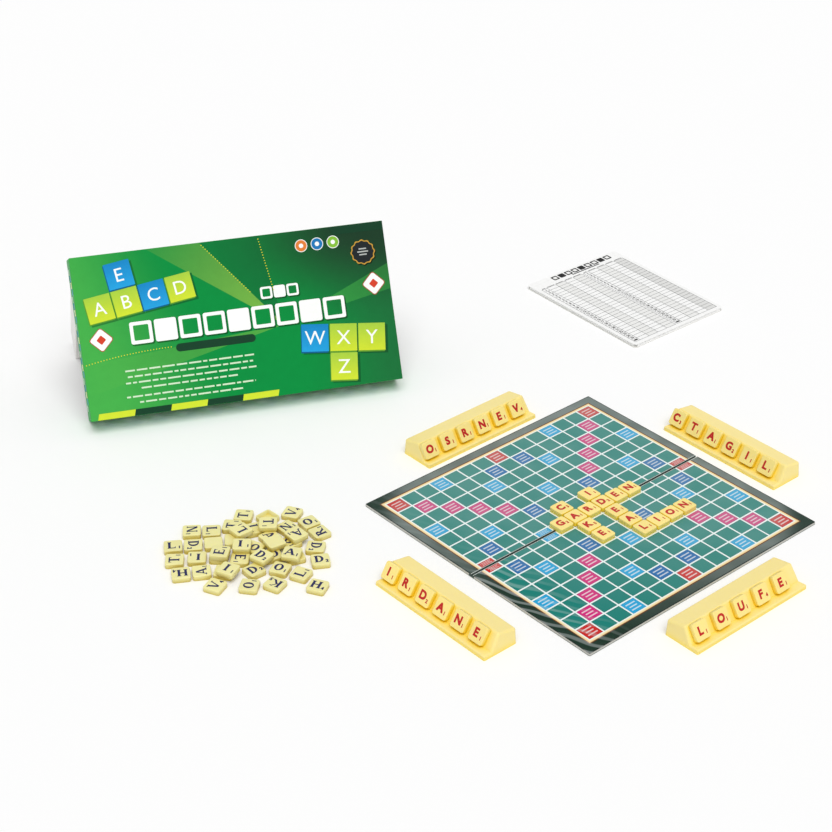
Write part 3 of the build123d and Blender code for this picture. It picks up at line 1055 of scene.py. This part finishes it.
def overGreen(points, colour=None, share=0.0):
    # an ink per corner: the green that lies there, or a mix with another colour
    greens = [lidGreen(p.x, p.y) for p in points]
    return [mixed(green, toLinear(colour), share) for green in greens] if colour else greens


def lidBackdrop():
    wide, high = lidStyle["face"]
    columns, rows = lidStyle["gridSteps"]
    left, low = lidStyle["inset"] - wide / 2, lidStyle["inset"] - high / 2
    plates = []
    for i in range(columns):
        for j in range(rows):
            x0, x1 = (left * (1 - 2 * k / columns) for k in (i, i + 1))
            y0, y1 = (low * (1 - 2 * k / rows) for k in (j, j + 1))
            corners = rect(x0, y0, x1, y1, lidStyle["layer"])
            plates.append(([corners], overGreen(corners)))
    return plates


# beams: two ends on the edge, colour, strength at the start, and the share that fades
lidBeams = {"start": (52.0, -12.0), "steps": 16, "beams": (
    (((-96, 93.7), (-34, 93.7)), "#9ED04E", 0.62, 0.9),
    (((-34, 93.7), (34, 93.7)), "#0F5F33", 0.55, 0.35),
    (((183.7, 14), (183.7, 44)), "#45AE4A", 0.6, 0.5),
    (((-183.7, -66), (-183.7, -30)), "#7CC64C", 0.45, 1.0),
)}


def lidBeam(ends, colour, strength, fade):
    # a beam that spreads from one point to two points on the edge and fades on its way
    start, steps, level = Vector(lidBeams["start"]), lidBeams["steps"], 2 * lidStyle["layer"]
    sides = [Vector(end) - start for end in ends]
    longest = max(side.length for side in sides)
    plates = []
    for k in range(steps):
        (near, far), (otherNear, otherFar) = (
            [start + side * share for share in (k / steps, (k + 1) / steps)] for side in sides)
        points = [near, far, otherFar, otherNear] if k else [near, far, otherFar]
        shades = []
        for point in points:
            share = strength * (1 - fade * (point - start).length / longest)
            shades.append(mixed(lidGreen(point.x, point.y), toLinear(colour), share))
        plates.append(([[Vector((p.x, p.y, level)) for p in points]], shades))
    return plates


# crossings of letter squares, each turned as a whole
lidLetters = {
    "shadow": (0.07, -0.09, 1.04), "shade": ("#0A2413", 0.5), "thickness": (-0.03, -0.05), "glyph": 0.5,
    "pitch": 1.06, "crossings": (
        ((-112, 55), 30, 8, ((-1.5, -0.5, "lime", "A"), (-0.5, -0.5, "lime", "B"), (0.5, -0.5, "blue", "C"),
                             (1.5, -0.5, "lime", "D"), (-0.5, 0.5, "blue", "E"))),
        ((118, -53), 32, -6, ((-1.0, 0.5, "blue", "W"), (0.0, 0.5, "lime", "X"), (1.0, 0.5, "lime", "Y"),
                              (0.0, -0.5, "lime", "Z"))),
    ),
}


def lidSquare(x, y, side, degrees, kind, letter):
    # a printed letter square with its thickness and a shadow
    style, layer = lidLetters, lidStyle["layer"]
    right, up, size = style["shadow"]
    shadow = turnedSquare(x + side * right, y + side * up, side * size, degrees, 4 * layer)
    right, up = style["thickness"]
    deep = turnedSquare(x + side * right, y + side * up, side, degrees, 5 * layer)
    front = turnedSquare(x, y, side, degrees, 6 * layer)
    spin, place = Matrix.Rotation(radians(degrees), 3, "Z"), Vector((x, y, 7 * layer))
    glyph = [
        [spin @ (point * side * style["glyph"]) + place for point in polygon]
        for polygon in sansGlyph(letter, 1)]
    return [
        ([shadow], overGreen(shadow, *style["shade"])),
        ([deep], lidStyle[f"{kind}Side"]),
        ([front], [toLinear(lidStyle[kind])] * 2 + [toLinear(lidStyle[f"{kind}Top"])] * 2),
        (glyph, lidStyle["white"]),
    ]


def crossingShapes():
    plates = []
    for middle, side, turn, squares in lidLetters["crossings"]:
        spin = Matrix.Rotation(radians(turn), 2)
        for column, row, kind, letter in squares:
            x, y = Vector(middle) + spin @ Vector((column, row)) * side * lidLetters["pitch"]
            plates += lidSquare(x, y, side, turn, kind, letter)
    return plates


# crossword rows: place of the first cell, number of cells, pitch, side and line
lidCells = {
    "rows": ((-113.6, 0.0, 9, 28.4, 25.6, 4.0), (36.0, 27.0, 3, 15.6, 14.0, 2.4)),
    "corners": (2.4, 1.2), "shadow": (1.1, -1.5, 1.03), "shade": ("#06180C", 0.62), "filledEach": 3,
}


def lidCell(x, y, side, line, filled):
    # a white crossword cell, filled or open, with its shadow
    style, layer = lidCells, lidStyle["layer"]
    right, up, size = style["shadow"]
    outerCorner, innerCorner = style["corners"]
    shadow = turnedSquare(x + right, y + up, side * size, 0, 8 * layer, outerCorner)
    outer = turnedSquare(x, y, side, 0, 9 * layer, outerCorner)
    plates = [([shadow], overGreen(shadow, *style["shade"]))]
    if filled:
        return plates + [([outer], lidStyle["white"])]
    inner = turnedSquare(x, y, side - 2 * line, 0, 9 * layer, innerCorner)
    ground = turnedSquare(x, y, side - 2 * line, 0, 8.5 * layer, innerCorner)
    rim = list(zip(outer, outer[1:] + outer[:1], inner[1:] + inner[:1], inner))
    return plates + [(rim, lidStyle["white"]), ([ground], overGreen(ground))]


def cellShapes():
    places = []
    for x, y, count, pitch, side, line in lidCells["rows"]:
        places += [(x + pitch * k, y, side, line) for k in range(count)]
    plates = []
    for order, place in enumerate(places):
        plates += lidCell(*place, order % lidCells["filledEach"] == 1)
    return plates


lidPill = {"place": (-30.0, -23.0), "half": 4.6, "corner": 4.5, "steps": 6, "reach": 42.0}
lidStrip = {"left": -176.0, "length": 42.0, "count": 5, "low": -93.7, "high": -86.5, "slant": 2.0}
lidTab = ((118, 93.7), (124, 84), (183.7, 84), (183.7, 93.7))


def bandShapes():
    # blank pill, strip of slanted fields and tab
    level, pill, strip = 8 * lidStyle["layer"], lidPill, lidStrip
    points = ringPoints(pill["half"], pill["corner"], level, pill["steps"])
    middle, reach = Vector((*pill["place"], 0)), Vector((pill["reach"], 0, 0))
    plates = [([[p + middle + (reach if p.x > 0 else -reach) for p in points]], lidStyle["pill"])]
    for k in range(strip["count"]):
        x, slant = strip["left"] + strip["length"] * k, strip["slant"]
        end, low, high = x + strip["length"], strip["low"], strip["high"]
        field = [Vector((*p, level)) for p in ((x, low), (end, low), (end + slant, high), (x + slant, high))]
        plates.append(([field], lidStyle["pill" if k % 2 else "lime"]))
    return plates + [([[Vector((*p, level)) for p in lidTab]], lidStyle["pill"])]


# greeked copy: height, indent and length of each line
lidCopy = {
    "lines": ((-43, 2, 150), (-50, 4, 146), (-57, 1, 152), (-64, 18, 112), (-73, 0, 150), (-80, 14, 120)),
    "left": -140, "words": (4.5, 15), "gap": 2.2, "high": 1.9, "ink": "#D3ECCB",
}


def copyShapes():
    # lines of greeked copy
    draw = random.Random(lidStyle["seed"])
    plates = []
    for y, indent, length in lidCopy["lines"]:
        x = lidCopy["left"] + indent
        end = x + length
        while x < end:
            word = draw.uniform(*lidCopy["words"])
            bar = rect(x, y, min(x + word, end), y + lidCopy["high"], 8 * lidStyle["layer"])
            plates.append(([bar], lidCopy["ink"]))
            x += word + lidCopy["gap"]
    return plates


lidBadge = {
    "place": (156.0, 60.0), "steps": 72, "waves": 12, "lines": (9, 13, 9), "lineTop": 3.2, "linePitch": 3.4,
    "lineHigh": 1.5, "lineInk": "#B9BDBB",
    "rings": (
        (0.8, -1.0, 14.6, 0.05, "#0C2415"), (0.0, 0.0, 14.2, 0.05, "#C99B3F"),
        (0.0, 0.0, 12.8, 0.04, "#23282B"),
    ),
}


def badgeShapes():
    style, layer = lidBadge, lidStyle["layer"]
    x, y = style["place"]
    plates = []
    for order, (right, up, radius, depth, ink) in enumerate(style["rings"]):
        ring = disc(x + right, y + up, radius, (8 + order) * layer, style["steps"], style["waves"], depth)
        plates.append(([ring], ink))
    for k, length in enumerate(style["lines"]):
        low = y + style["lineTop"] - style["linePitch"] * k
        line = rect(x - length / 2, low, x + length / 2, low + style["lineHigh"], 11 * layer)
        plates.append(([line], style["lineInk"]))
    return plates


lidDiamonds = {
    "places": ((164, 22), (-160, -3)),
    "squares": ((20.6, 3.0, "#B94A35"), (19.0, 2.6, "#FBFDFB"), (7.98, 1.0, "#D6452F")),
}


lidDiscs = {
    "first": (84.0, 76.0), "pitch": 19.0, "radii": (7.4, 6.6, 2.6),
    "inks": ("#E2813B", "#2278B8", "#86BE3F"),
}


def signShapes():
    # blank diamonds and plain discs
    layer = lidStyle["layer"]
    plates = []
    for x, y in lidDiamonds["places"]:
        for order, (side, corner, ink) in enumerate(lidDiamonds["squares"]):
            plates.append(([turnedSquare(x, y, side, 45, (9 + order) * layer, corner)], ink))
    x, y = lidDiscs["first"]
    for k, colour in enumerate(lidDiscs["inks"]):
        for order, radius in enumerate(lidDiscs["radii"]):
            ring = disc(x + lidDiscs["pitch"] * k, y, radius, (9 + order) * layer)
            plates.append(([ring], colour if order == 1 else lidStyle["white"]))
    return plates


def lidShapes():
    plates = []
    for beam in lidBeams["beams"]:
        plates += lidBeam(*beam)
    for shapes in (crossingShapes, cellShapes, bandShapes, copyShapes, badgeShapes, signShapes):
        plates += shapes()
    return plates


wallStyle = {"square": 7.2, "corner": 0.8, "pitch": 7.9, "rowPitch": 7.92, "dark": "#0B5A33"}


def lidWalls(drawn, depth):
    # a run of small squares printed round the four walls
    style, side = wallStyle, wallStyle["square"]
    wide, high = lidStyle["face"]
    colours = (lidStyle["lime"], lidStyle["blue"], lidStyle["white"], style["dark"])
    shapes = []
    for quarter in range(4):
        # out of the wall, with the wall's own up along the face's outward way
        reach, length = (wide / 2, high) if quarter % 2 else (high / 2, wide)
        wall = Matrix.Rotation(quarter * pi / 2, 4, "Z") @ Matrix.Translation((0, -reach, -depth / 2))
        wall = drawn @ wall @ Matrix.Rotation(pi / 2, 4, "X")
        count = int((length - 2 * side) / style["pitch"])
        for k in range(count):
            x = (k - (count - 1) / 2) * style["pitch"]
            for row in (-1, 0, 1):
                # two squares of each four are left out, in a run that looks strewn
                if (3 * k + 5 * row) % 4 < 2:
                    continue
                square = turnedSquare(x, row * style["rowPitch"], side, 0, lidStyle["layer"], style["corner"])
                shapes.append((wall, [square], colours[(k + 2 * row) % 4]))
    return shapes


dotStyle = {
    "ink": "#E9E23C", "radius": 0.65, "corners": 8, "ends": ((-34, 93), (34, 93)), "pitch": 3.2,
    "startShare": 0.42, "row": (-82.0, -21.0), "rowCount": 30, "rowPitch": 3.4, "rowBend": 0.0009,
}


def lidDots(plane):
    # dotted yellow lines beside the dark beam, and a bent one under the long row of cells
    style, start = dotStyle, Vector(lidBeams["start"])
    spots = []
    for end in style["ends"]:
        way = Vector(end) - start
        count = int(way.length / style["pitch"])
        spots += [start + way * (k / count) for k in range(int(count * style["startShare"]), count)]
    x, y = style["row"]
    for run in (style["rowPitch"] * k for k in range(style["rowCount"])):
        spots.append(Vector((x - run, y - style["rowBend"] * run ** 2)))
    outline = [p * mm for p in disc(0, 0, style["radius"], 0, style["corners"])]
    dotCopy = bpy.data.meshes.new("dot")
    dotCopy.from_pydata(outline, [], [tuple(range(len(outline)))])
    level = 12 * lidStyle["layer"]
    places = [plane @ Matrix.Translation(Vector((p.x, p.y, level)) * mm) for p in spots]
    return placeMesh(dotCopy, places, printedLid, None, [toLinear(style["ink"])] * len(spots))


cardStyle = {"skin": 0.9, "turnIn": 15.0, "fibre": 2.5, "lining": ("#CBC7BC", "#DDDAD1")}


def innerLining(tree, place, plane, size, rimFirst):
    # one on the inner faces of a box past its turned-in edge, and nought elsewhere
    skin = cardStyle["skin"] * mm
    local = addNode(tree, "ShaderNodeVectorMath", {0: place, 1: plane.translation}, operation="SUBTRACT")
    across, up, out = (
        addNode(tree, "ShaderNodeVectorMath", {0: local, 1: plane.col[i].to_3d()},
                operation="DOT_PRODUCT").outputs["Value"] for i in range(3))
    sign, start = (-1.0, 0.0) if rimFirst else (1.0, size.z)
    fromRim = addNode(tree, "ShaderNodeMath", {0: out, 1: sign, 2: start}, operation="MULTIPLY_ADD")
    past = {0: fromRim, 1: cardStyle["turnIn"] * mm}
    lining = addNode(tree, "ShaderNodeMath", past, operation="GREATER_THAN")
    across, up = (addNode(tree, "ShaderNodeMath", {0: value}, operation="ABSOLUTE") for value in (across, up))
    for value, reach in ((across, size.x / 2), (up, size.y / 2), (fromRim, size.z)):
        within = addNode(tree, "ShaderNodeMath", {0: value, 1: reach - skin}, operation="LESS_THAN")
        lining = addNode(tree, "ShaderNodeMath", {0: lining, 1: within}, operation="MULTIPLY")
    return lining


def boxCard(name, outside, plane, size, rimFirst):
    # printed paper wrapped over grey card: satin varnish outside, a turned-in edge, then
    # bare lining; the plane lies on the closed face, or on the rim where rimFirst says so
    material, tree, shader = newMaterial(name, {"Roughness": 0.52, "Specular IOR Level": 0.2})
    place = addNode(tree, "ShaderNodeTexCoord").outputs["Object"]
    lining = innerLining(tree, place, plane, size, rimFirst)
    fibre, paper = cloudy(tree, place, cardStyle["fibre"], 5.0, cardStyle["lining"], roughness=0.65)
    inked = addNode(tree, "ShaderNodeValToRGB", {"Fac": fibre})
    setStops(inked, (0.3, 0.7), outside)
    colour = addNode(tree, "ShaderNodeMix", {"Factor": lining, 6: inked, 7: paper}, data_type="RGBA")
    bump = addNode(tree, "ShaderNodeBump", {"Height": fibre, "Strength": 0.2, "Distance": 0.03 * mm})
    feed(tree, shader, {"Base Color": colour.outputs[2], "Normal": bump})
    return material


printedLid = inkMaterial("varnishedOffsetPrint", 0.55, 9.0, 0.07)


def makeBox():
    plane, size = solidFrames("box_lid", always((0, 0, 1)))[0]
    dress("box_lid", boxCard("wrappedBoxCard", ("#2B9A49", "#33A34F"), plane, size, False))
    drawn = plane @ Matrix.Scale(mm, 4)
    printPiece("lid_backdrop_print", "lid", "lid_print", printedLid, drawn, lidBackdrop())
    printPiece("lid_shapes_print", "lid", "lid_print", printedLid, drawn, lidShapes())
    addPiece("lid_dots_print", lidDots(plane), "lid", "lid_print")
    walls = plateMesh("lid_walls_print", lidWalls(drawn, size.z / mm))
    addPiece("lid_walls_print", walls, "lid", "lid_print", printedLid)
    plane, size = solidFrames("box_base", always((0, 0, 1)))[0]
    dress("box_base", boxCard("plainBoxCard", ("#EBEAE6", "#F4F3F0"), plane, size, True))


makeBox()
print("box ready")


# Score pad: card, glued block of sheets, and the printed sheet on top

padStyle = {
    "head": 18.5, "foot": 6.0, "side": 5.5, "middle": 2.6, "numbers": 8.6, "columns": 4, "rows": 26,
    "nameRow": 3.6, "line": 0.5, "layer": 0.02, "digit": 3.6, "totalInset": 1.2,
    "nameLine": (1.0, 1.9), "nameHalf": (0.3, 0.4), "totalLine": (0.3, 0.7),
    "ink": "#4C4E50", "strong": "#2E2F30", "black": "#131314", "grey": "#E0E0DE", "paleGrey": "#EEEEEC",
}


def paperStock(name, low, high, roughness):
    # uncoated wood-free paper: matt, white, with a faint cloudy grain
    material, tree, shader = newMaterial(name, {"Roughness": roughness, "Specular IOR Level": 0.2})
    place = addNode(tree, "ShaderNodeTexCoord").outputs["Object"]
    cloud, shade = cloudy(tree, place, 4.0, 6.0, (low, high))
    bump = addNode(tree, "ShaderNodeBump", {"Height": cloud, "Strength": 0.2, "Distance": 0.02 * mm})
    feed(tree, shader, {"Base Color": shade, "Normal": bump})
    return material


def padColumns(left, block, foot, first):
    # one block of the table: number column, ruled columns, and a bar over each of them
    style, layer, thin = padStyle, padStyle["layer"], padStyle["line"] / 2
    step = (first - foot) / style["rows"]
    numbers, columns = style["numbers"], style["columns"]
    wide = (block - numbers) / columns
    edges = [left, *(left + numbers + wide * k for k in range(columns + 1))]
    plates = []
    for k, shade in ((2, "paleGrey"), (4, "grey" if left > 0 else "paleGrey")):
        plates.append(([rect(edges[k], foot, edges[k + 1], first, layer)], style[shade]))
    for k, x in enumerate(edges):
        plates.append(([rect(x - thin, foot, x + thin, first, 2 * layer)], style["ink" if k else "strong"]))
    for k in range(style["rows"] + 1):
        y = foot + step * k
        plates.append(([rect(left, y - thin, left + block, y + thin, 3 * layer)], style["ink"]))
    low, high = style["nameLine"]
    numberShare, columnShare = style["nameHalf"]
    for k in range(columns + 1):
        middle = edges[k + 1] - wide / 2 if k else left + numbers / 2
        half = wide * columnShare if k else numbers * numberShare
        bar = rect(middle - half, first + low, middle + half, first + high, 2 * layer)
        plates.append(([bar], style["black"]))
    for number in range(1, style["rows"]):
        spot = Vector((left + numbers / 2, first - step * (number - 0.5), 4 * layer))
        digits = [
            [point * style["digit"] + spot for point in polygon] for polygon in sansGlyph(str(number), 2)]
        plates.append((digits, style["black"]))
    inset, (low, high) = style["totalInset"], style["totalLine"]
    total = rect(left + inset, foot + step * low, left + numbers - inset, foot + step * high, 4 * layer)
    return plates + [([total], style["black"])]


padHead = {
    "squares": 9, "left": -36.0, "pitch": 11.6, "drop": 8.4, "outer": (9.6, 1.4), "inner": (5.4, 0.8),
    "rule": (-12.0, 36.0), "ruleDrop": (16.2, 14.4), "open": "#F2F2F0",
}


def padHeading(length):
    # a row of blank squares and a short rule under it
    style, layer, black = padHead, padStyle["layer"], padStyle["black"]
    y = length / 2 - style["drop"]
    (outer, outerCorner), (inner, innerCorner) = style["outer"], style["inner"]
    plates = []
    for k in range(style["squares"]):
        x = style["left"] + style["pitch"] * k
        plates.append(([turnedSquare(x, y, outer, 0, 2 * layer, outerCorner)], black))
        if k % 3 != 1:
            plates.append(([turnedSquare(x, y, inner, 0, 3 * layer, innerCorner)], style["open"]))
    (left, right), (low, high) = style["rule"], style["ruleDrop"]
    return plates + [([rect(left, length / 2 - low, right, length / 2 - high, 2 * layer)], black)]


def padTable(width, length):
    style = padStyle
    foot = style["foot"] - length / 2
    first = length / 2 - style["head"] - style["nameRow"]
    block = (width - 2 * style["side"] - style["middle"]) / 2
    plates = []
    for left in (style["side"] - width / 2, style["middle"] / 2):
        plates += padColumns(left, block, foot, first)
    return plates + padHeading(length)


padBlock = {"sheets": 8, "drift": 0.7, "corner": 4.0, "cornerSteps": 5, "fill": 0.95, "seed": 3}


def sheetMesh(size, thick):
    # one thin sheet with round corners, smaller than the block by its drift
    style, drift = padBlock, padBlock["drift"] * mm
    sheet = bmesh.new()
    bmesh.ops.create_cube(sheet, size=1.0)
    scale = (size.x - 2 * drift, size.y - 2 * drift, thick * style["fill"])
    bmesh.ops.scale(sheet, vec=scale, verts=sheet.verts)
    upright = [edge for edge in sheet.edges if abs(edge.verts[0].co.z - edge.verts[1].co.z) > thick / 2]
    bmesh.ops.bevel(
        sheet, geom=upright, offset=style["corner"] * mm, segments=style["cornerSteps"], affect="EDGES")
    return finishedMesh("sheet", sheet)


def makeBlock(plane, size, paper):
    # thin sheets glued at the head, each a little out of line at the foot
    draw, drift = random.Random(padBlock["seed"]), padBlock["drift"] * mm
    thick = size.z / padBlock["sheets"]
    places = []
    for k in range(padBlock["sheets"]):
        shift = Vector((draw.uniform(-drift, drift), draw.uniform(-drift, drift), -thick * (k + 0.5)))
        places.append(plane @ Matrix.Translation(shift))
    block = placeMesh(sheetMesh(size, thick), places, paper, [draw.random() for place in places])
    addPiece("pad_block_sheets", block, "standing_set", "pad_paper", None, ["pad_sheets"])


def makePad():
    paper = paperStock("woodFreePaper", "#F6F6F5", "#FCFCFB", 0.85)
    dress("pad_top_sheet", paper)
    dress("pad_backing_card", paperStock("whiteBackCard", "#DEDDD9", "#E9E8E4", 0.9))
    dress("pad_gum_strip", paperStock("paddingGum", "#D8DADB", "#E6E7E8", 0.45))
    tableInk = inkMaterial("offsetPrintOnPaper", 0.8, 2.0)
    plane, size = solidFrames("pad_top_sheet", always((0, 1, 0)))[0]
    table = padTable(size.x / mm, size.y / mm)
    drawn = plane @ Matrix.Scale(mm, 4)
    printPiece("pad_table_print", "pad_sheet", "pad_paper", tableInk, drawn, table)
    # the same table on the sheet that shows once the top one is turned
    plane, size = solidFrames("pad_sheets", always((0, 1, 0)))[0]
    drawn = plane @ Matrix.Scale(mm, 4)
    printPiece("pad_next_table_print", "standing_set", "pad_paper", tableInk, drawn, table)
    makeBlock(plane, size, paper)


makePad()
print("pad ready")
